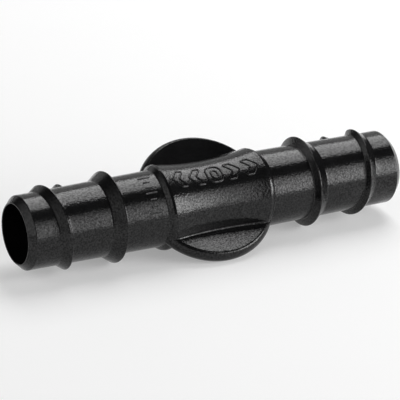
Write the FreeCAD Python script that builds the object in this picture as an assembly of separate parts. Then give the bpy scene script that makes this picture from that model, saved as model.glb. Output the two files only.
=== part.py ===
import FreeCAD, Part
import math
import os
from FreeCAD import Vector

# Hose mender: one moulding that joins two ends of irrigation pipe.
# Two barbed spouts leave a waisted barrel, and a round grip disc crosses the barrel.
# Lengths are in millimetres and angles in degrees.
# The bore runs along X through the origin. The part lies as it comes to rest:
# on its two ring barbs and on the edge of the disc at the -Y side.

# Spouts
overall_length = 74.6
spout_tip_diameter = 13.3
spout_draft = 0.57
spout_parallel_length = 3.0
wall_at_mouth = 1.35
mouth_land = 0.2
mouth_bevel_length = 1.15

# Ring barb, the inner one on each spout
ring_barb_from_mouth = 18.0
ring_barb_height = 1.4
ring_barb_ramp = 2.2
ring_barb_shoulder = 0.55
ring_barb_crest_land = 0.2

# Helical barb, the outer one: one turn that rises out of the spout and sinks back into it
helix_from_mouth = 6.75
helix_pitch = 4.75
helix_height = 1.0
helix_ramp = 1.45
helix_shoulder = 0.5
helix_crest_land = 0.18
helix_root_depth = 0.5
helix_end_height = 0.1
helix_first_angle = -92.0
helix_last_angle = 302.0
helix_fade_angle = 20.0
helix_section_step = 11.0

# Barrel between the spouts
barrel_length = 21.7
barrel_step = 0.9
barrel_step_length = 0.78
barrel_waist_depth = 0.96

# Grip disc
disc_diameter = 25.3
disc_thickness = 2.8
disc_rim_bulge = 0.8
disc_dish_depth = 1.15

# Derived sizes
half_length = overall_length / 2
spout_tip_radius = spout_tip_diameter / 2
bore_radius = spout_tip_radius - wall_at_mouth
bevel_foot_x = half_length - mouth_bevel_length
parallel_start_x = bevel_foot_x - spout_parallel_length
barrel_foot_x = barrel_length / 2
barrel_corner_x = barrel_foot_x - barrel_step_length
ring_barb_x = half_length - ring_barb_from_mouth
disc_radius = disc_diameter / 2
disc_half_thickness = disc_thickness / 2
disc_edge_x = disc_radius - disc_rim_bulge
disc_middle_z = disc_half_thickness - disc_dish_depth
centre = Vector(0, 0, 0)
axis_x = Vector(1, 0, 0)
axis_z = Vector(0, 0, 1)


def spout_radius(x):
    """Outside radius of the plain spout at the distance x from the centre."""
    tapered_length = max(0, parallel_start_x - x)
    return spout_tip_radius + tapered_length * math.tan(math.radians(spout_draft))


barrel_corner_radial = spout_radius(barrel_foot_x) + barrel_step
ring_barb_radius = spout_radius(ring_barb_x) + ring_barb_height


def line(start, end):
    """Straight edge between two points."""
    return Part.LineSegment(start, end).toShape()


def open_path(corners):
    """Straight edges through (x, z) corners in the XZ plane."""
    points = [Vector(x, 0, z) for x, z in corners]
    return [line(start, end) for start, end in zip(points, points[1:])]


def make_turned_body():
    """Both spouts, their ring barbs and the waisted barrel, solid to the axis."""
    shoulder_foot_x = ring_barb_x - ring_barb_shoulder
    ramp_foot_x = ring_barb_x + ring_barb_ramp
    right_half = Part.Wire(open_path([
        (barrel_corner_x, barrel_corner_radial),
        (barrel_foot_x, spout_radius(barrel_foot_x)),
        (shoulder_foot_x, spout_radius(shoulder_foot_x)),
        (ring_barb_x, ring_barb_radius),
        (ring_barb_x + ring_barb_crest_land, ring_barb_radius),
        (ramp_foot_x, spout_radius(ramp_foot_x)),
        (parallel_start_x, spout_tip_radius),
        (bevel_foot_x, spout_tip_radius),
        (half_length, bore_radius + mouth_land),
        (half_length, 0),
    ]))
    left_half = right_half.mirror(centre, axis_x)
    waist = Part.Arc(
        Vector(-barrel_corner_x, 0, barrel_corner_radial),
        Vector(0, 0, barrel_corner_radial - barrel_waist_depth),
        Vector(barrel_corner_x, 0, barrel_corner_radial),
    ).toShape()
    axis = line(Vector(-half_length, 0, 0), Vector(half_length, 0, 0))
    edges = Part.__sortEdges__(left_half.Edges + [waist] + right_half.Edges + [axis])
    return Part.Face(Part.Wire(edges)).revolve(centre, axis_x, 360)


def helix_crest_height(angle):
    """Height of the helical barb's crest above its buried root, less near both ends."""
    full = helix_root_depth + helix_height
    from_end = min(angle - helix_first_angle, helix_last_angle - angle)
    share = min(1.0, from_end / helix_fade_angle)
    return helix_end_height + (full - helix_end_height) * math.sin(share * math.pi / 2)


def helix_section(angle):
    """Outline of the helical barb in the half plane at this angle about the axis.

    The angle is 0 over the disc's upper face and grows towards the -Y side.
    """
    crest_x = half_length - helix_from_mouth - helix_pitch * angle / 360
    root = spout_radius(crest_x) - helix_root_depth
    crest = root + helix_crest_height(angle)
    root_share = 1 + helix_root_depth / helix_height
    shoulder_x = crest_x - helix_shoulder * root_share
    ramp_x = crest_x + helix_crest_land + helix_ramp * root_share
    outward = Vector(0, -math.sin(math.radians(angle)), math.cos(math.radians(angle)))
    corners = [
        axis_x * shoulder_x + outward * root,
        axis_x * crest_x + outward * crest,
        axis_x * (crest_x + helix_crest_land) + outward * crest,
        axis_x * ramp_x + outward * root,
    ]
    return Part.makePolygon(corners + corners[:1])


def make_helical_barb():
    """The barb that winds once round the +X spout and sinks into it at both ends."""
    span = helix_last_angle - helix_first_angle
    count = math.ceil(span / helix_section_step)
    angles = [helix_first_angle + span * n / count for n in range(count + 1)]
    return Part.makeLoft([helix_section(angle) for angle in angles], True, False)


def make_disc():
    """The grip disc with its bulged rim. Both faces fall in towards the disc's own axis."""
    upper = Vector(disc_edge_x, 0, disc_half_thickness)
    lower = Vector(disc_edge_x, 0, -disc_half_thickness)
    top = Vector(0, 0, disc_middle_z)
    bottom = Vector(0, 0, -disc_middle_z)
    outline = Part.Wire([
        line(top, upper),
        Part.Arc(upper, Vector(disc_radius, 0, 0), lower).toShape(),
        line(lower, bottom),
        line(bottom, top),
    ])
    return Part.Face(outline).revolve(centre, axis_z, 360)


def resting_lean():
    """Turn about X that brings the disc's rim as low as the ring barbs."""
    rim_radius = (disc_half_thickness**2 + disc_rim_bulge**2) / (2 * disc_rim_bulge)
    rim_centre = disc_radius - rim_radius
    on_round = math.asin((ring_barb_radius - rim_radius) / rim_centre)
    round_reach = math.asin(disc_half_thickness / rim_radius)
    if math.pi / 2 - on_round <= round_reach:
        return math.degrees(on_round)
    from_axis = math.hypot(disc_edge_x, disc_half_thickness)
    on_edge = math.asin(ring_barb_radius / from_axis)
    on_edge -= math.atan2(disc_half_thickness, disc_edge_x)
    return math.degrees(on_edge)


right_barb = make_helical_barb()
left_barb = right_barb.mirror(centre, axis_x)
bore = Part.makeCylinder(bore_radius, overall_length, Vector(-half_length, 0, 0), axis_x)
mender = make_turned_body().fuse([make_disc(), right_barb, left_barb]).cut(bore)
mender = mender.removeSplitter()
mender.rotate(centre, axis_x, resting_lean())

os.makedirs("parts", exist_ok=True)
mender.exportStep("parts/mender_body.step")
print("solids", len(mender.Solids), "valid", mender.isValid(), "faces", len(mender.Faces))
print("volume", round(mender.Volume, 1), "lean", round(resting_lean(), 2))
print("facets", len(mender.tessellate(0.05)[1]))
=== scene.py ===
# %% [markdown]
# # Hose mender
#
# This part joins two ends of irrigation pipe. It is one moulding of black plastic: two barbed
# spouts, a waisted barrel between them, and a thin round disc through the barrel for the fingers.
# The lesson builds its finished skin in Blender round the imported model.
# The first cell loads that model, which stays in the scene and is hidden once the skin is made.

import math

import bmesh
import bpy
from mathutils import Matrix, Vector


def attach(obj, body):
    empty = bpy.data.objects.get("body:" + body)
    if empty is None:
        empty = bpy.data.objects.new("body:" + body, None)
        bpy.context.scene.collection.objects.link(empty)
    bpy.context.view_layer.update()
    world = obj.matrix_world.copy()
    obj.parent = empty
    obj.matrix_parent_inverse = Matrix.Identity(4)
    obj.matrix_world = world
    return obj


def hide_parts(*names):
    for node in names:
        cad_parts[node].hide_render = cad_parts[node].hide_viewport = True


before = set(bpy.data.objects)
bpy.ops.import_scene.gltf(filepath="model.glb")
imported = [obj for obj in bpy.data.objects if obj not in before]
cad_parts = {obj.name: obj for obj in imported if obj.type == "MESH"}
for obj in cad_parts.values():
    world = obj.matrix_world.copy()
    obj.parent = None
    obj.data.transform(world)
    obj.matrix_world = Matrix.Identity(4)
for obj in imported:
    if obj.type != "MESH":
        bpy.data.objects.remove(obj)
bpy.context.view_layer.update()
mm = 0.001
print("packed nodes", list(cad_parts))

# %% [markdown]
# ## The sizes
#
# A turned part is known by a few radii and the places where they change. These are the same sizes
# as in the part's construction, so that the skin lies on the solid. They are written in
# millimetres, measured from the middle of the bore, and mm turns them into Blender's metres.
# The ring and the disc are a hair smaller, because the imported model's facets cut its curves short
# and the skin stays inside that model's box.

# %% Sizes in millimetres
half_length = 37.3
tip_radius = 6.65
spout_draft = math.radians(0.57)
taper_start = 33.15
bore_radius = 5.3
barrel_foot = 10.85
barrel_corner = 10.07
barrel_step = 0.9
waist_depth = 0.96
facet_loss = 0.004
ring_crest = 19.3
ring_height = 1.4 - facet_loss
disc_radius = 12.65 - 2.25 * facet_loss
disc_half_thickness = 1.4
rim_bulge = 0.8
dish_depth = 0.9


def spout_radius(x):
    """Outside radius of the plain spout at this distance from the middle."""
    return tip_radius + max(0, taper_start - abs(x)) * math.tan(spout_draft)


corner_radius = spout_radius(barrel_foot) + barrel_step
waist_radius = corner_radius - waist_depth
ring_radius = spout_radius(ring_crest) + ring_height
print("radius at the barrel's corner", round(corner_radius, 3), "and waist", round(waist_radius, 3))
print("radius of the ring barb", round(ring_radius, 3))

# %% [markdown]
# ## How it lies
#
# The disc keeps the part from rolling, but it also tips it: the part lies on its two ring barbs
# and on the edge of the disc. Every piece is built upright, with the disc level, because that is
# where its rules are simple, and one turn about the bore lays the finished skin down. The turn
# follows from the sizes: it brings the disc's rim as low as the ring barbs.

# %% The lean
rim_arc = (disc_half_thickness**2 + rim_bulge**2) / (2 * rim_bulge)
lean = math.asin((ring_radius - rim_arc) / (disc_radius - rim_arc))
floor_height = -ring_radius * mm
print("lean", round(math.degrees(lean), 2), "degrees, floor at", round(floor_height / mm, 3), "mm")

# %% [markdown]
# ## Formulas in node trees
#
# Geometry Nodes can move a plain grid of points by formula, and many moulded shapes are just such
# a formula: a turned body, a helical rib, a line of raised marks on a round face. Formulas made of
# Math nodes are tedious to write one node at a time. The small class below lets a tree's numbers
# be added and multiplied like any others in Python, and adds the Math nodes itself.

# %% Helpers for node trees
def feed(tree, entry, value):
    """Puts a number, a material or another node's output into a node's input."""
    if isinstance(value, Field):
        tree.links.new(value.socket, entry)
    elif isinstance(value, bpy.types.NodeSocket):
        tree.links.new(value, entry)
    else:
        entry.default_value = value


def add_node(tree, kind, inputs=None, **settings):
    """Adds a node, sets its options and fills its inputs by name."""
    node = tree.nodes.new(kind)
    for option, value in settings.items():
        setattr(node, option, value)
    for name, value in (inputs or {}).items():
        feed(tree, node.inputs[name], value)
    return node


class Field:
    """A number inside a node tree. Arithmetic on it adds Math nodes to the tree."""

    def __init__(self, tree, socket):
        self.tree = tree
        self.socket = socket

    def math(self, operation, *others):
        """Adds one Math node with this number as its first input."""
        node = self.tree.nodes.new("ShaderNodeMath")
        node.operation = operation
        for entry, value in zip(node.inputs, (self, *others)):
            feed(self.tree, entry, value)
        return Field(self.tree, node.outputs[0])

    def __add__(self, other):
        return self.math("ADD", other)

    def __sub__(self, other):
        return self.math("SUBTRACT", other)

    def __mul__(self, other):
        return self.math("MULTIPLY", other)

    def __truediv__(self, other):
        return self.math("DIVIDE", other)

    def between(self, low, high):
        """Runs from 0 to 1 while this number runs from low to high."""
        ends = {"Value": self, "From Min": low, "From Max": high}
        return Field(self.tree, add_node(self.tree, "ShaderNodeMapRange", ends, clamp=True).outputs["Result"])


# %% [markdown]
# Every tree here has the same frame: named inputs at its start, and at its end the two nodes that
# make real faces of everything and give them their material.

# %% Start and end of a tree
def new_tree(name, sizes):
    """An empty Geometry Nodes tree with named inputs and one output."""
    tree = bpy.data.node_groups.new(name, "GeometryNodeTree")
    for label, kind in sizes.items():
        tree.interface.new_socket(label, in_out="INPUT", socket_type="NodeSocket" + kind)
    tree.interface.new_socket("Geometry", in_out="OUTPUT", socket_type="NodeSocketGeometry")
    given = tree.nodes.new("NodeGroupInput")
    return tree, {label: Field(tree, given.outputs[label]) for label in sizes}


def end_tree(tree, geometry, material):
    """Every tree ends in real faces that carry their material."""
    real = add_node(tree, "GeometryNodeRealizeInstances", {"Geometry": geometry})
    dressed = add_node(
        tree, "GeometryNodeSetMaterial", {"Geometry": real.outputs[0], "Material": material}
    )
    end = tree.nodes.new("NodeGroupOutput")
    tree.links.new(dressed.outputs[0], end.inputs[0])


# %% [markdown]
# Three of the trees start from a drawing: flat lines whose corners each carry a rounding. The
# fillet node rounds them. Two of the trees then wrap a numbered grid over the rounded line, so
# that every point of the grid looks up its own point of the drawing and is moved to its place.

# %% Nodes that follow a drawing
def rounded_curve(tree, drawn, steps):
    """The drawing's lines as a curve, each corner rounded by the radius that it carries."""
    shown = add_node(tree, "GeometryNodeObjectInfo", {"Object": drawn})
    line = add_node(tree, "GeometryNodeMeshToCurve", {"Mesh": shown.outputs["Geometry"]})
    radius = add_node(tree, "GeometryNodeInputNamedAttribute", {"Name": "rounding"}, data_type="FLOAT")
    rounded = add_node(tree, "GeometryNodeFilletCurve", {
        "Curve": line.outputs[0], "Radius": radius.outputs["Attribute"], "Count": steps, "Limit Radius": True,
    }, mode="POLY")
    return rounded.outputs[0]


def counted_chain(tree, curve):
    """The curve as a chain of points, and how many there are."""
    chain = add_node(tree, "GeometryNodeCurveToMesh", {"Curve": curve}).outputs[0]
    count = add_node(tree, "GeometryNodeAttributeDomainSize", {"Geometry": chain})
    return chain, Field(tree, count.outputs["Point Count"])


def numbered_grid(tree, rows, columns):
    """A grid of points with each point's row and column."""
    grid = add_node(tree, "GeometryNodeMeshGrid", {"Vertices X": rows, "Vertices Y": columns})
    index = Field(tree, tree.nodes.new("GeometryNodeInputIndex").outputs[0])
    row = (index / columns).math("FLOOR")
    return grid.outputs[0], row, index - row * columns


def point_of(tree, chain, number):
    """The two coordinates of the chain's point with this number."""
    there = tree.nodes.new("GeometryNodeInputPosition").outputs[0]
    sample = add_node(tree, "GeometryNodeSampleIndex", {
        "Geometry": chain, "Value": there, "Index": number,
    }, data_type="FLOAT_VECTOR")
    parts = add_node(tree, "ShaderNodeSeparateXYZ", {"Vector": sample.outputs["Value"]})
    return Field(tree, parts.outputs["X"]), Field(tree, parts.outputs["Y"])


def on_round_face(tree, x, radius, angle):
    """A point at this radius and angle round the bore. The angle is 0 at the top, a quarter at -Y."""
    across = radius * angle.math("SINE") * -1
    up = radius * angle.math("COSINE")
    return add_node(tree, "ShaderNodeCombineXYZ", {"X": x, "Y": across, "Z": up}).outputs[0]


def moved(tree, geometry, position):
    """The same geometry with its points in new places."""
    placed = add_node(tree, "GeometryNodeSetPosition", {"Geometry": geometry, "Position": position})
    return placed.outputs[0]


# %% [markdown]
# A tree does nothing until a modifier runs it. This helper gives a tree its inputs, lets Blender
# work it out once, and keeps the result as a plain mesh. Inputs are set by the socket's own
# identifier. Points that fall together are merged, which closes the seam and the poles, and the
# faces are then turned outwards.

# %% Run a tree once and keep its mesh
def tidy_mesh(mesh):
    """Merges points that fall together, turns every face outwards and counts the open edges."""
    build = bmesh.new()
    build.from_mesh(mesh)
    bmesh.ops.remove_doubles(build, verts=build.verts, dist=0.0005 * mm)
    bmesh.ops.dissolve_degenerate(build, edges=build.edges, dist=0.0002 * mm)
    bmesh.ops.recalc_face_normals(build, faces=build.faces)
    open_edges = sum(1 for edge in build.edges if len(edge.link_faces) != 2)
    build.to_mesh(mesh)
    build.free()
    return open_edges


def place(mesh, name):
    """Puts a mesh in the scene under this name."""
    piece = bpy.data.objects.new(name, mesh)
    bpy.context.scene.collection.objects.link(piece)
    return piece


def bake(name, tree, values):
    """Runs the tree on an empty mesh and returns a plain object."""
    carrier = place(bpy.data.meshes.new(name + "_start"), name + "_carrier")
    modifier = carrier.modifiers.new(tree.name, "NODES")
    modifier.node_group = tree
    for item in tree.interface.items_tree:
        if item.in_out == "INPUT" and item.name in values:
            modifier[item.identifier] = values[item.name]
    view = bpy.context.evaluated_depsgraph_get()
    mesh = bpy.data.meshes.new_from_object(carrier.evaluated_get(view))
    mesh.name = name
    bpy.data.objects.remove(carrier)
    open_edges = tidy_mesh(mesh)
    print(name, len(mesh.polygons), "faces,", open_edges, "open edges")
    return place(mesh, name)


def drawing(name, runs, closed=False):
    """Lines through corners, each (first, second, rounding) in mm, as a mesh for a tree to follow."""
    mesh = bpy.data.meshes.new(name)
    points, edges, roundings = [], [], []
    for run in runs:
        first = len(points)
        points += [(corner[0] * mm, corner[1] * mm, 0) for corner in run]
        roundings += [corner[2] * mm if len(corner) > 2 else 0 for corner in run]
        edges += [(first + n, first + n + 1) for n in range(len(run) - 1)]
        if closed:
            edges.append((len(points) - 1, first))
    mesh.from_pydata(points, edges, [])
    mesh.attributes.new("rounding", "FLOAT", "POINT").data.foreach_set("value", roundings)
    return place(mesh, name)


# %% [markdown]
# ## Black plastic
#
# The real part is moulded in a black engineering plastic. The mould was left with a fine
# spark-eroded grain, so broad lights break up into tiny sparks on it, and the rest stays deep
# black. Four things make that look here. The base colour is close to black and hardly varies. The
# roughness wanders a little, as the melt flowed. The bump has two sizes of noise, one as fine as
# the grain and one wide and shallow, like the slight sink of a cooling wall. The strength of the
# reflection changes from spot to spot, which gives the sparks that a bump alone would need far
# more height for. All of it reads the object's own coordinates.

# %% The plastic
def noise(tree, scale, detail):
    """Noise on the object's own coordinates."""
    place_on = tree.nodes.new("ShaderNodeTexCoord").outputs["Object"]
    return add_node(
        tree, "ShaderNodeTexNoise", {"Vector": place_on, "Scale": scale, "Detail": detail}
    ).outputs["Fac"]


def stretched(tree, value, spread, least, most):
    """While the value runs over this spread, the result runs from least to most."""
    low, high = spread
    return add_node(tree, "ShaderNodeMapRange", {
        "Value": value, "From Min": low, "From Max": high, "To Min": least, "To Max": most,
    }).outputs["Result"]


def moulded_plastic():
    """Deep black with a fine grain, two sizes of bump and a reflection that breaks into sparks."""
    flow_spread = (0.3, 0.7)
    spark_spread = (0.35, 0.65)
    material = bpy.data.materials.new("black_moulded_plastic")
    material.use_nodes = True
    tree = material.node_tree
    shader = tree.nodes["Principled BSDF"]
    shader.inputs["IOR"].default_value = 1.53
    flow = noise(tree, scale=260.0, detail=3.0)
    grain = noise(tree, scale=2900.0, detail=1.0)
    sink = noise(tree, scale=170.0, detail=1.0)
    sparks = noise(tree, scale=3400.0, detail=2.0)
    tint = add_node(tree, "ShaderNodeValToRGB", {"Fac": flow})
    deep, lifted = tint.color_ramp.elements
    deep.position, lifted.position = flow_spread
    deep.color = (0.0028, 0.0028, 0.003, 1)
    lifted.color = (0.0045, 0.0045, 0.0048, 1)
    shallow = add_node(tree, "ShaderNodeBump", {"Height": sink, "Strength": 1.0, "Distance": 0.02 * mm})
    fine = add_node(tree, "ShaderNodeBump", {
        "Height": grain, "Strength": 1.0, "Distance": 0.03 * mm, "Normal": shallow.outputs["Normal"],
    })
    feed(tree, shader.inputs["Base Color"], tint.outputs["Color"])
    roughness = stretched(tree, flow, flow_spread, least=0.15, most=0.18)
    gloss = stretched(tree, sparks, spark_spread, least=0.16, most=0.44)
    feed(tree, shader.inputs["Roughness"], roughness)
    feed(tree, shader.inputs["Specular IOR Level"], gloss)
    feed(tree, shader.inputs["Normal"], fine.outputs["Normal"])
    return material


plastic = moulded_plastic()
print(plastic.name, len(plastic.node_tree.nodes), "nodes")

# %% [markdown]
# ## The turned body
#
# Spouts, ring barbs and barrel are all round about the bore, so one outline says what they are.
# The outline is drawn as corners, each with the radius that rounds it, because a mould has no
# sharp corners and those small radii are what catches the light. The tree rounds the corners,
# counts the points, and wraps a grid round the bore so that each row of the grid takes its place
# from one point of the outline. A Screw modifier would turn the outline too, but only into flat
# rings, and this barrel's ends are bowed: beside the disc they are cut back a little, over and
# under it they aren't. The tree does that by shifting its rows.

# %% A tree that turns an outline about the bore
# The bow stays full out to this many times the distance of the barrel's corner.
bow_holds = 1.09


def turned_tree():
    """Wraps an outline round the bore. The bow is full from the barrel's corner on, then fades."""
    tree, given = new_tree("Turned about the bore", {
        "Outline": "Object", "Rounding steps": "Int", "Segments": "Int",
        "Bow": "Float", "Bow full at": "Float", "Bow ends at": "Float", "Material": "Material",
    })
    curve = rounded_curve(tree, given["Outline"], given["Rounding steps"])
    chain, points = counted_chain(tree, curve)
    grid, row, column = numbered_grid(tree, points, given["Segments"] + 1)
    along, out = point_of(tree, chain, row)
    angle = column * math.tau / given["Segments"]
    side = angle.math("SINE")
    distance = along.math("ABSOLUTE")
    near = distance.between(0.0, given["Bow full at"])
    far = distance.between(given["Bow ends at"], given["Bow full at"] * bow_holds)
    shift = given["Bow"] * side * side * near.math("MINIMUM", far) * along.math("SIGN")
    wrapped = moved(tree, grid, on_round_face(tree, along - shift, out, angle))
    end_tree(tree, wrapped, given["Material"])
    return tree


turn = turned_tree()
print(turn.name, len(turn.nodes), "nodes")

# %% [markdown]
# The outline runs from the middle of one mouth over the whole part to the middle of the other.
# Only one half is written down, and the other half is its mirror. The waist is one long arc. A
# narrow bevel leads from its end to the slanted step down to the spout. The ring barb has a steep
# shoulder towards the barrel and a gentle ramp towards the mouth.

# %% The outline of the body
waist_arc = (barrel_corner**2 + waist_depth**2) / (2 * waist_depth)


def waist_at(x):
    """Radius of the waisted barrel at this distance from the middle."""
    return waist_radius + waist_arc - math.sqrt(waist_arc**2 - x**2)


def on_spout(x, rounding=0):
    """A corner of the outline on the plain spout."""
    return (x, spout_radius(x), rounding)


def mirrored(half):
    """The other half of an outline, from its far end to the middle."""
    return [(-x, radius, rounding) for x, radius, rounding in reversed(half)]


bow = 0.5
bow_end = 16
bevel_from, bevel_to = 9.66, 10.12
bevel_drop = 0.2
bevel_start = (bevel_from, waist_at(bevel_from))
bevel_end = (bevel_to, corner_radius - bevel_drop)
ring_shoulder = 0.55
ring_land = 0.2
ring_ramp = 2.2
mouth_bevel = 1.15
mouth_land = 0.2

right_half = [(x, waist_at(x), 0) for x in (1.5, 3, 4.5, 6, 7.5, 8.8)]
right_half += [
    (*bevel_start, 0.16),
    (*bevel_end, 0.14),
    on_spout(barrel_foot, 0.28),
    on_spout(14.5),
    on_spout(ring_crest - ring_shoulder, 0.22),
    (ring_crest, ring_radius, 0.15),
    (ring_crest + ring_land, ring_radius, 0.25),
    on_spout(ring_crest + ring_ramp, 0.6),
    on_spout(25.0),
    on_spout(29.0),
    on_spout(taper_start),
    on_spout(half_length - mouth_bevel, 0.25),
    (half_length, bore_radius + mouth_land, 0.07),
    (half_length, 0, 0),
]
outline = drawing("body_outline", [mirrored(right_half) + [(0, waist_radius, 0)] + right_half])
body = bake("turned_body", turn, {
    "Outline": outline, "Rounding steps": 7, "Segments": 240, "Bow": bow * mm,
    "Bow full at": barrel_corner * mm, "Bow ends at": bow_end * mm, "Material": plastic,
})

# %% [markdown]
# The bore is a second turned shape, a long pin that the body is cut with. It opens slightly at
# both mouths, as the edge of a core pin does, and it reaches a little past them so that the cut
# is clean.

# %% The pin that cuts the bore
mouth_chamfer = 0.08
pin_reach = 1.2
pin_half = [
    (half_length - mouth_chamfer, bore_radius, 0.05),
    (half_length + pin_reach, bore_radius + pin_reach + mouth_chamfer, 0),
    (half_length + pin_reach, 0, 0),
]
pin_outline = drawing("pin_outline", [mirrored(pin_half) + pin_half])
pin = bake("bore_pin", turn, {
    "Outline": pin_outline, "Rounding steps": 3, "Segments": 192, "Bow": 0.0,
    "Bow full at": barrel_corner * mm, "Bow ends at": bow_end * mm, "Material": plastic,
})

# %% [markdown]
# ## The helical barbs
#
# The outer barb of each spout winds once round it and sinks back into it at both ends, so a twist
# of the hand draws the pipe over it. It has the same saw-tooth section all the way: a gentle ramp
# that lets the pipe slide on, and a steep shoulder that holds it. A Screw modifier could wind the
# section, but it can't let it sink at the ends. So the tree carries it round the spout on a grid,
# with one column for each point of the section. Near both ends the section sinks, and the last
# row shrinks to a point, which closes the shape.

# %% A tree that winds a section round the spout
# The share of its height that the section keeps at its ends, and the angle that counts as an end.
least_height = 0.07
last_row_angle = 0.0001


def winding_tree():
    """Carries a section round the +X spout and mirrors it onto the other spout."""
    tree, given = new_tree("Winds round the spout", {
        "Section": "Object", "Rounding steps": "Int", "Steps": "Int",
        "First angle": "Float", "Last angle": "Float", "Fade angle": "Float", "Pitch": "Float",
        "Crest at": "Float", "Depth": "Float", "Tip radius": "Float", "Taper start": "Float",
        "Taper": "Float", "Material": "Material",
    })
    curve = rounded_curve(tree, given["Section"], given["Rounding steps"])
    chain, points = counted_chain(tree, curve)
    grid, row, column = numbered_grid(tree, given["Steps"] + 1, points + 1)
    ahead, above = point_of(tree, chain, column.math("MODULO", points))
    angle = given["First angle"] + (given["Last angle"] - given["First angle"]) * (row / given["Steps"])
    from_end = (angle - given["First angle"]).math("MINIMUM", given["Last angle"] - angle)
    height = (from_end.between(0.0, given["Fade angle"]) * (math.pi / 2)).math("SINE")
    height = height * (1 - least_height) + least_height
    closed = from_end.math("GREATER_THAN", last_row_angle)
    along = given["Crest at"] - given["Pitch"] * angle / math.tau + ahead * closed
    face = given["Tip radius"] + (given["Taper start"] - along).math("MAXIMUM", 0.0) * given["Taper"]
    rise = (above + given["Depth"]) * height * closed
    wound = moved(tree, grid, on_round_face(tree, along, face - given["Depth"] + rise, angle))
    other = add_node(tree, "GeometryNodeTransform", {"Geometry": wound, "Scale": (-1, 1, 1)})
    turned = add_node(tree, "GeometryNodeFlipFaces", {"Mesh": other.outputs[0]})
    both = tree.nodes.new("GeometryNodeJoinGeometry")
    tree.links.new(wound, both.inputs[0])
    tree.links.new(turned.outputs[0], both.inputs[0])
    end_tree(tree, both.outputs[0], given["Material"])
    return tree


# %% [markdown]
# The section is drawn flat, with its crest at zero and the spout's face as its ground line. Its
# feet run out just under that face, so that the fillets meet the spout without an edge.

# %% The helical barbs
helix_from_mouth = 6.75
helix_pitch = 4.75
helix_height = 1.0
helix_shoulder = 0.5
helix_land = 0.18
helix_ramp = 1.45
helix_depth = 0.5
helix_first_angle = math.radians(-92)
helix_last_angle = math.radians(298)
helix_fade_angle = math.radians(24)
feet = (-0.95, 2.3)
sunk = 0.005

section = drawing("barb_section", [[
    (feet[0], -helix_depth, 0),
    (feet[0], -sunk, 0),
    (-helix_shoulder, -sunk, 0.22),
    (0, helix_height, 0.13),
    (helix_land, helix_height, 0.22),
    (helix_land + helix_ramp, -sunk, 0.6),
    (feet[1], -sunk, 0),
    (feet[1], -helix_depth, 0),
]], closed=True)
barbs = bake("helical_barbs", winding_tree(), {
    "Section": section, "Rounding steps": 6, "Steps": 290,
    "First angle": helix_first_angle, "Last angle": helix_last_angle, "Fade angle": helix_fade_angle,
    "Pitch": helix_pitch * mm, "Crest at": (half_length - helix_from_mouth) * mm,
    "Depth": helix_depth * mm, "Tip radius": tip_radius * mm, "Taper start": taper_start * mm,
    "Taper": math.tan(spout_draft), "Material": plastic,
})

# %% [markdown]
# ## The grip disc
#
# Two half-round wings stand out from the barrel, the halves of one disc. Their faces are dished:
# they fall in towards the middle of the disc, so one wing catches the light from above while the
# other stays dark. Their rim is softly bulged, and a small fillet leads each face up onto the
# barrel. That fillet is what draws the thin bright line along the root. A Boolean of a plain disc
# and the barrel would cross them but leave no fillet, so the wings are made directly: a fan of
# columns runs from the root to the rim, and every column is the same run of points, a fillet, the
# dished face, a rounded edge and the bulge. Where a column is too short for its fillet, the fillet
# shrinks with it. The root follows the barrel's real face, so the next cell first says how far out
# that face is.

# %% The faces that a wing runs between
def on_line(x, start, end):
    """Height over x of the straight line between two points."""
    return start[1] + (end[1] - start[1]) * (x - start[0]) / (end[0] - start[0])


def barrel_face(x):
    """Radius of the bowed barrel, its bevel, its step or the spout where the disc leaves it."""
    before_bow = min(abs(x) * barrel_corner / (barrel_corner - bow), abs(x) + bow)
    if before_bow < bevel_start[0]:
        return waist_at(before_bow)
    if before_bow < bevel_end[0]:
        return on_line(before_bow, bevel_start, bevel_end)
    if before_bow < barrel_foot:
        return on_line(before_bow, bevel_end, (barrel_foot, spout_radius(barrel_foot)))
    return spout_radius(x)


disc_edge = disc_radius - rim_bulge
dish_radius = (disc_edge**2 + dish_depth**2) / (2 * dish_depth)


def disc_height(distance):
    """Half the disc's thickness at this distance from its own axis."""
    rise = dish_radius - math.sqrt(dish_radius**2 - distance**2)
    return disc_half_thickness - dish_depth + rise


def arc_points(centre, radius, start, end, steps):
    """Points on an arc in the plane of distance and height, with angles in radians."""
    angles = [start + (end - start) * n / steps for n in range(steps + 1)]
    return [(centre[0] + radius * math.cos(a), centre[1] + radius * math.sin(a)) for a in angles]


print("disc middle", round(2 * disc_height(0), 2), "mm thick, edge", round(2 * disc_height(disc_edge), 2))

# %% [markdown]
# The edge of the front wing is rounded more than that of the back wing. Light that falls on the
# rounded edge draws the two thin lines there that the photograph shows, and the back wing has
# none. The rounding is a curve that leaves the dished face, is pulled towards the sharp corner
# and lands on the bulge.

# %% Points of one column of a wing
overlap = 0.006
root_start = 3.0
largest_fillet = 0.42
smallest_fillet = 0.02
fillet_middle = 0.7
fillet_steps = 9
face_steps = 12
edge_steps = 7
bulge_steps = 11


def root_points(x, reach):
    """The fillet from the barrel's face down to the disc's face, as distance and height."""
    face = barrel_face(x) - overlap
    h = disc_height(math.hypot(x, face))
    room = reach - math.sqrt(face**2 - h**2)
    fillet = min(largest_fillet, max(smallest_fillet, room * 0.5))
    h = disc_height(math.hypot(x, face + fillet * fillet_middle))
    centre_y = math.sqrt((face + fillet)**2 - (h + fillet)**2)
    touch = math.atan2(h + fillet, centre_y)
    return arc_points((centre_y, h + fillet), fillet, math.pi + touch, math.pi * 1.5, fillet_steps)


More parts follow.
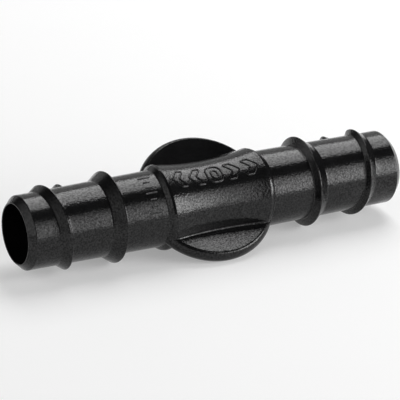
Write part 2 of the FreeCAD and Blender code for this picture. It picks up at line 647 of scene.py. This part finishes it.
def rim_points(rounding):
    """The rounded edge and the bulge, as distance from the disc's axis and height."""
    bulge_centre = disc_radius - rim_arc
    leaves = disc_edge - rounding
    meets = math.asin(disc_half_thickness / rim_arc) - rounding / rim_arc
    start = (leaves, disc_height(leaves))
    end = (bulge_centre + rim_arc * math.cos(meets), rim_arc * math.sin(meets))
    points = []
    for n in range(1, edge_steps):
        share = n / edge_steps
        before, after = (1 - share)**2, share**2
        middle = 1 - before - after
        distance = before * start[0] + middle * disc_edge + after * end[0]
        points.append((distance, before * start[1] + middle * disc_half_thickness + after * end[1]))
    return points + arc_points((bulge_centre, 0), rim_arc, meets, 0, bulge_steps)


def wing_column(x, rim_angle, rounding):
    """Points from inside the barrel over the top face to the middle of the rim."""
    rim_x = (disc_edge - rounding) * math.cos(rim_angle)
    reach = (disc_edge - rounding) * math.sin(rim_angle)
    root = root_points(x, reach)
    last_y = root[-1][0]
    points = [(x, root_start, root[0][1])] + [(x, y, z) for y, z in root]
    for n in range(1, face_steps + 1):
        share = n / face_steps
        px = x + (rim_x - x) * share
        py = last_y + (reach - last_y) * share
        points.append((px, py, disc_height(math.hypot(px, py))))
    for distance, z in rim_points(rounding):
        points.append((distance * math.cos(rim_angle), distance * math.sin(rim_angle), z))
    return points


# %% [markdown]
# The columns are joined into a closed wing, top and bottom alike, and the second wing is made as
# the first one turned half way round. Each wing starts well inside the barrel, where it is hidden.

# %% The two wings
wing_columns = 150
root_half_width = 10.3
rim_half_width = 10.75


def wing_mesh(name, side, rounding):
    """One half of the disc. The side is 1 at the back and -1 at the front."""
    first_angle = math.acos(rim_half_width / disc_radius)
    grid = []
    for n in range(wing_columns + 1):
        rim_angle = first_angle + (math.pi - 2 * first_angle) * n / wing_columns
        x = root_half_width * math.cos(rim_angle) / math.cos(first_angle)
        top = wing_column(x, rim_angle, rounding)
        whole = top + [(px, py, -pz) for px, py, pz in reversed(top[:-1])]
        grid.append([(px * side * mm, py * side * mm, pz * mm) for px, py, pz in whole])
    size = len(grid[0])
    points = [point for column in grid for point in column]
    faces = [tuple(range(size)), tuple(range(wing_columns * size, (wing_columns + 1) * size))]
    for n in range(wing_columns):
        for m in range(size):
            after = (m + 1) % size
            faces.append((n * size + m, n * size + after, (n + 1) * size + after, (n + 1) * size + m))
    mesh = bpy.data.meshes.new(name)
    mesh.from_pydata(points, [], faces)
    mesh.materials.append(plastic)
    print(name, len(faces), "faces,", tidy_mesh(mesh), "open edges")
    return place(mesh, name)


back_wing = wing_mesh("back_wing", 1, rounding=0.05)
front_wing = wing_mesh("front_wing", -1, rounding=0.24)

# %% [markdown]
# ## Raised marks
#
# Such parts carry small raised marks that the mould cutter engraved. This one gets plain signs: a
# row of outlined shapes on the barrel that says that pipe goes on at both ends, and a short column
# of ticks on one spout. A bump in the material could hint at them, but their edges catch the
# light from the side, so they are real beads. A mark is drawn flat, bent onto the round face and
# swept with a round bead. The tree does the bending and the sweeping. The barrel's face is nearly
# a parabola near its middle, so its radius grows with the square of the distance.

# %% A tree that lays a drawing on a round face
def beads_tree():
    """Bends a drawing onto a round face and sweeps a bead along its lines."""
    tree, given = new_tree("Beads on a round face", {
        "Drawing": "Object", "Bead radius": "Float", "Lift": "Float", "Middle radius": "Float",
        "Flare": "Float", "Turned to": "Float", "Material": "Material",
    })
    curve = rounded_curve(tree, given["Drawing"], steps=6)
    there = tree.nodes.new("GeometryNodeInputPosition").outputs[0]
    parts = add_node(tree, "ShaderNodeSeparateXYZ", {"Vector": there})
    along = Field(tree, parts.outputs["X"])
    across = Field(tree, parts.outputs["Y"])
    face = given["Middle radius"] + along * along * given["Flare"]
    angle = given["Turned to"] - across / face
    bent = moved(tree, curve, on_round_face(tree, along, face + given["Lift"], angle))
    bead = add_node(
        tree, "GeometryNodeCurvePrimitiveCircle", {"Resolution": 12, "Radius": given["Bead radius"]}
    )
    swept = add_node(tree, "GeometryNodeCurveToMesh", {
        "Curve": bent, "Profile Curve": bead.outputs[0], "Fill Caps": True,
    })
    end_tree(tree, swept.outputs[0], given["Material"])
    return tree


beads = beads_tree()
print(beads.name, len(beads.nodes), "nodes")

# %% [markdown]
# The barrel's signs are a ring between arrow heads that point at both spouts. They are drawn once
# as outlines and mirrored, so a change of one size keeps the row even.

# %% The signs on the barrel
def ring_points(width, height):
    """A rounded box outline round the middle."""
    rounding = min(width, height) * 0.4
    return [(a * width / 2, b * height / 2, rounding) for a, b in ((-1, -1), (1, -1), (1, 1), (-1, 1))]


def arrow_points(x, length, height):
    """An outlined arrow head whose tip points along the length's sign."""
    back, middle, tip = x - length / 2, x, x + length / 2
    end_rounding, side_rounding = 0.25, 0.4
    return [
        (back, height / 2, end_rounding), (middle, height / 2, side_rounding),
        (tip, 0, side_rounding), (middle, -height / 2, side_rounding),
        (back, -height / 2, end_rounding), (middle, 0, side_rounding),
    ]


sign_height = 3.5
arrow_length = 2.9
shapes = [ring_points(3.0, sign_height), ring_points(1.2, 1.5)]
for side in (1, -1):
    for x in (3.65, 7.15):
        shapes.append(arrow_points(side * x, side * arrow_length, sign_height))
signs = drawing("barrel_drawing", shapes, closed=True)
barrel_signs = bake("barrel_signs", beads, {
    "Drawing": signs, "Bead radius": 0.18 * mm, "Lift": 0.02 * mm, "Middle radius": waist_radius * mm,
    "Flare": waist_depth / barrel_corner**2 / mm, "Turned to": math.radians(-9), "Material": plastic,
})

# %% [markdown]
# The ticks run down the spout beside the barrel. Every third one is long, as on a ruler. They are
# open lines, so the sweep gives each bead a flat cap at both ends.

# %% The ticks on the spout
ticks_at = -13.1
first_tick = 3.6
tick_step = 1.2
long_tick = 1.1
short_tick = 0.6
tick_lines = []
for n in range(7):
    half = long_tick if n % 3 == 0 else short_tick
    y = first_tick - tick_step * n
    tick_lines.append([(ticks_at - half, y), (ticks_at + half, y)])
ticks = drawing("spout_drawing", tick_lines)
spout_ticks = bake("spout_ticks", beads, {
    "Drawing": ticks, "Bead radius": 0.16 * mm, "Lift": 0.0, "Middle radius": spout_radius(ticks_at) * mm,
    "Flare": 0.0, "Turned to": math.radians(4), "Material": plastic,
})

# %% [markdown]
# ## One skin
#
# The pieces so far overlap. A printer or a moulder needs one closed skin, and so does the light,
# because overlapping shells show hard lines where they cross. The last tree joins them with a
# Boolean and cuts the bore. The skin is then turned to the way it lies.

# %% Join the pieces and cut the bore
def joining_tree(count):
    """Joins this many pieces into one skin and takes the cutter away from it."""
    labels = ["Piece %d" % n for n in range(1, count + 1)]
    tree, given = new_tree("Joined and bored", {
        **{label: "Object" for label in labels}, "Cutter": "Object", "Material": "Material",
    })
    joined = add_node(tree, "GeometryNodeMeshBoolean", operation="UNION", solver="MANIFOLD")
    for label in labels:
        piece = add_node(tree, "GeometryNodeObjectInfo", {"Object": given[label]})
        tree.links.new(piece.outputs["Geometry"], joined.inputs["Mesh 2"])
    cutter = add_node(tree, "GeometryNodeObjectInfo", {"Object": given["Cutter"]})
    bored = add_node(tree, "GeometryNodeMeshBoolean", {
        "Mesh 1": joined.outputs["Mesh"], "Mesh 2": cutter.outputs["Geometry"],
    }, operation="DIFFERENCE", solver="MANIFOLD")
    end_tree(tree, bored.outputs["Mesh"], given["Material"])
    return tree


pieces = [body, barbs, back_wing, front_wing, barrel_signs, spout_ticks]
values = {"Piece %d" % n: piece for n, piece in enumerate(pieces, 1)}
skin = bake("mender_skin", joining_tree(len(pieces)), {**values, "Cutter": pin, "Material": plastic})
skin.data.transform(Matrix.Rotation(lean, 4, "X"))
for done in pieces + [pin, outline, pin_outline, section, signs, ticks]:
    bpy.data.objects.remove(done)

# %% [markdown]
# Smooth shading is kept where faces meet gently and dropped at real edges. Weighted normals let
# the broad faces decide how a small rounding is shaded, so that flats stay flat.

# %% Shading of the skin
sharpest_smooth_angle = math.radians(34)
skin.data.polygons.foreach_set("use_smooth", [True] * len(skin.data.polygons))
skin.data.set_sharp_from_angle(angle=sharpest_smooth_angle)
weighted = skin.modifiers.new("weighted normals", "WEIGHTED_NORMAL")
weighted.keep_sharp = True
weighted.weight = 50
view = bpy.context.evaluated_depsgraph_get()
finished = bpy.data.meshes.new_from_object(skin.evaluated_get(view))
skin.modifiers.clear()
skin.data = finished
skin.data.name = "mender_skin"
print("skin", sum(len(face.vertices) - 2 for face in finished.polygons), "triangles")

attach(skin, "root")
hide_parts("mender_body")

# %% [markdown]
# ## Floor and room
#
# The part is shown on a white ground. The floor is a plain white sheet. What a camera or a mirror
# sees of it is lifted a little by Light Path, and the object still casts its soft shadow on it.
# The room is dark, apart from a pale wall far to the left, which grows brighter the further left
# a face looks. It shows in the bevel of the left mouth and on the barrel's left step.

# %% The floor and the room
floor_lift = 0.3
floor_reach = 6.0
wall_spread = (-0.45, -0.9)


def white_floor():
    """White sheet that looks a little lighter to the camera and in reflections."""
    material = bpy.data.materials.new("white_floor")
    material.use_nodes = True
    tree = material.node_tree
    shader = tree.nodes["Principled BSDF"]
    shader.inputs["Base Color"].default_value = (0.7, 0.7, 0.7, 1)
    shader.inputs["Roughness"].default_value = 0.9
    shader.inputs["Specular IOR Level"].default_value = 0.0
    shader.inputs["Emission Color"].default_value = (1, 1, 1, 1)
    rays = tree.nodes.new("ShaderNodeLightPath")
    seen = Field(tree, rays.outputs["Is Camera Ray"]).math("MAXIMUM", rays.outputs["Is Glossy Ray"])
    seen = seen.math("MAXIMUM", rays.outputs["Is Transmission Ray"])
    feed(tree, shader.inputs["Emission Strength"], seen * floor_lift)
    return material


def dim_studio():
    """A dark room with a pale wall far to the left."""
    world = bpy.data.worlds.new("studio")
    world.use_nodes = True
    tree = world.node_tree
    direction = tree.nodes.new("ShaderNodeTexCoord").outputs["Generated"]
    parts = add_node(tree, "ShaderNodeSeparateXYZ", {"Vector": direction})
    brightness = stretched(tree, parts.outputs["X"], wall_spread, least=0.06, most=1.25)
    feed(tree, tree.nodes["Background"].inputs["Strength"], brightness)
    tree.nodes["Background"].inputs["Color"].default_value = (1, 1, 1, 1)
    return world


corners = [
    (a * floor_reach, b * floor_reach, floor_height) for a, b in ((-1, -1), (1, -1), (1, 1), (-1, 1))
]
floor_mesh = bpy.data.meshes.new("floor")
floor_mesh.from_pydata(corners, [], [(0, 1, 2, 3)])
floor = place(floor_mesh, "floor")
floor.data.materials.append(white_floor())
bpy.context.scene.world = dim_studio()
print("floor", 2 * floor_reach, "m wide, room", bpy.context.scene.world.name)

# %% [markdown]
# ## Lights
#
# On a round black part the lights are drawn as stripes, so their edges matter more than their
# power. A wide softbox hangs over the back and gives the broad stripe along the top. A dim one
# behind it fills the upper edge. The front is lit by a stack of narrow strips that grow weaker
# upwards, because the stripe there fades instead of ending. The strips stand in three columns,
# and the further right a column is, the brighter it is, since the barrel's waist turns that into a
# glow on its left half. Between the front and the top is a dark gap, which draws the dark band.

# %% The softboxes
def softbox(name, angle, reach, along, width, depth, brightness):
    """A rectangle of light beside the bore. The angle runs from the front horizon over the top."""
    lamp = bpy.data.lights.new(name, "AREA")
    lamp.shape = "RECTANGLE"
    lamp.size = width
    lamp.size_y = depth
    lamp.energy = brightness * math.pi * width * depth
    lamp_object = bpy.data.objects.new(name, lamp)
    around = math.radians(angle)
    centre = Vector((along, -math.cos(around) * reach, math.sin(around) * reach))
    turned = Matrix.Rotation(math.pi / 2 - around, 4, "X")
    lamp_object.matrix_world = Matrix.Translation(centre) @ turned
    bpy.context.scene.collection.objects.link(lamp_object)


def fade(angle, brightest, span):
    """1 at the brightest angle, falling to 0 at span degrees from it."""
    return math.cos(math.radians((angle - brightest) * 90 / span))


softbox("softbox_over_back", 115, reach=0.7, along=0.345, width=0.45, depth=0.68, brightness=4.4)
softbox("softbox_behind", 160, reach=0.7, along=0.3, width=1.0, depth=0.36, brightness=0.5)
strip = {"reach": 0.6, "depth": 0.105}
for n, angle in enumerate((4, 14, 24, 34, 44)):
    near_fade = fade(angle, brightest=14, span=42)
    far_fade = math.sqrt(fade(angle, brightest=20, span=42))
    softbox("softbox_front_far_%d" % n, angle, **strip, along=0.88, width=0.7, brightness=8.8 * far_fade)
    softbox("softbox_front_right_%d" % n, angle, **strip, along=0.43, width=0.2, brightness=5.8 * near_fade)
    softbox("softbox_front_%d" % n, angle, **strip, along=0.2275, width=0.205, brightness=2.6 * near_fade)
print(len(bpy.data.lights), "softboxes")

# %% [markdown]
# ## The camera
#
# The view was worked out from the places of the spouts' rims and crests in the photograph: a long
# lens, low and to the left of the front.

# %% The camera
azimuth, elevation, roll = (math.radians(a) for a in (-28.857, 23.581, 1.893))
distance = 0.57473
focal_length = 290.17
aim = Vector((-0.77, 0.32, -0.21)) * mm
back = Vector((
    math.sin(azimuth) * math.cos(elevation), -math.cos(azimuth) * math.cos(elevation), math.sin(elevation),
))
lens = bpy.data.cameras.new("camera")
lens.sensor_width = 36
lens.lens = focal_length
camera = bpy.data.objects.new("camera", lens)
turn_to = (-back).to_track_quat("-Z", "Y").to_matrix().to_4x4()
camera.matrix_world = Matrix.Translation(aim + back * distance) @ turn_to @ Matrix.Rotation(roll, 4, "Z")
bpy.context.scene.collection.objects.link(camera)
bpy.context.scene.camera = camera
bpy.context.scene.view_settings.view_transform = "Standard"
print("camera", [round(v, 4) for v in camera.matrix_world.translation])
